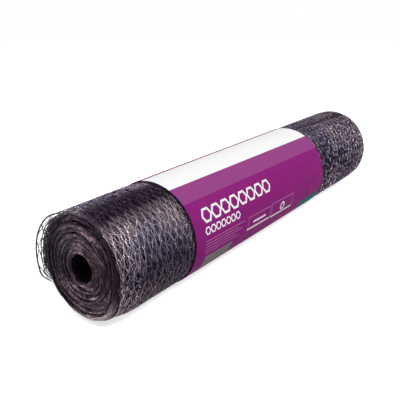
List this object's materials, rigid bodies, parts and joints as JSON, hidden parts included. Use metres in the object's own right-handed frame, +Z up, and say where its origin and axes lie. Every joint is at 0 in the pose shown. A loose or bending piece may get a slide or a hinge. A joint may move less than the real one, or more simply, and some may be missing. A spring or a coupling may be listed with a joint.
{
  "type": "roll of chicken wire",
  "caption": "Roll of hexagonal wire netting lying on its side, wound round an open bore, with its turns showing on the ends and a printed card wrap round its middle.",
  "frame": {"origin": "on the floor, under the middle of the roll", "axes": "+X along the roll from the near end to the far end, +Z up, -Y the side that the wrap is read from"},
  "size_m": [0.9079, 0.19, 0.19],
  "materials": {
    "galvanised_wire": "dull galvanised wire, dark between the turns, with bright glints along the wires",
    "printed_card": "satin printed card, purple with a white band, a paler purple band and a teal block"
  },
  "bodies": {
    "root": {"mesh_roll": "galvanised_wire", "label_wrap": "printed_card"}
  },
  "joints": []
}
